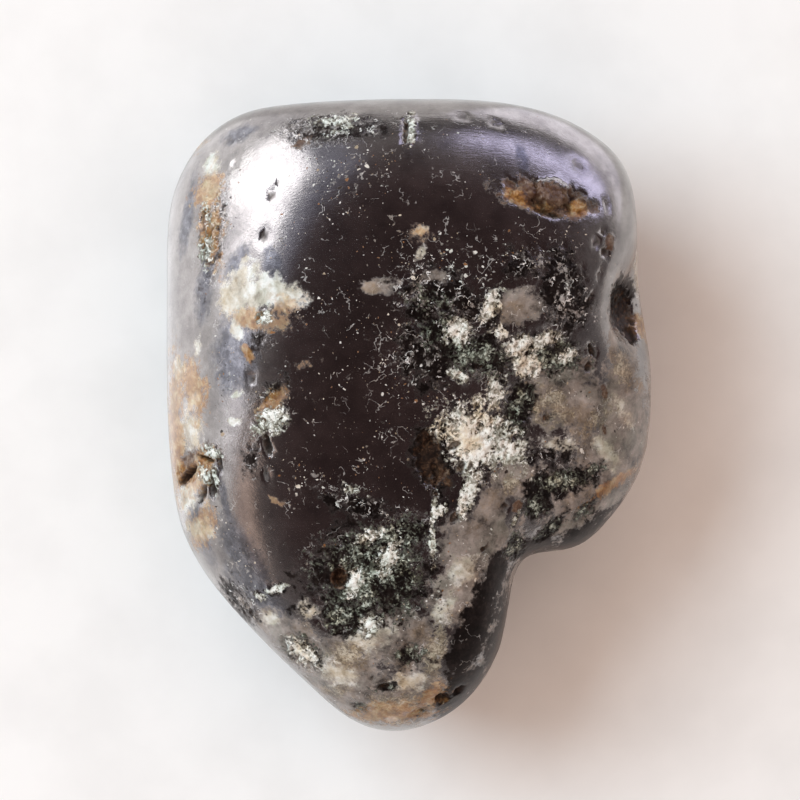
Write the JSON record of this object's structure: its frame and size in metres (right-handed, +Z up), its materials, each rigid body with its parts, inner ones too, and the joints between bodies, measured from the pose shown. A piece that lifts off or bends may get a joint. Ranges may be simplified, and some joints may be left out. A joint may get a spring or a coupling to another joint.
{
  "type": "magnetite stone",
  "caption": "Tumbled magnetite stone with a polished dark crown, a rough quartz and chlorite matrix, a side lobe and a narrow toe, resting on a worn flat.",
  "frame": {"origin": "centre of the stone's box in plan, on the surface that it rests on", "axes": "+Y along the stone's length towards its square end, +X towards the side lobe, +Z up through the polished crown"},
  "size_m": [0.02, 0.026, 0.015],
  "materials": {
    "polished_magnetite": "tumble-polished dark brown-black iron ore with rough pits and grains of grey-white quartz, green chlorite and rust"
  },
  "bodies": {
    "root": {"magnetite_stone": "polished_magnetite"}
  },
  "joints": []
}
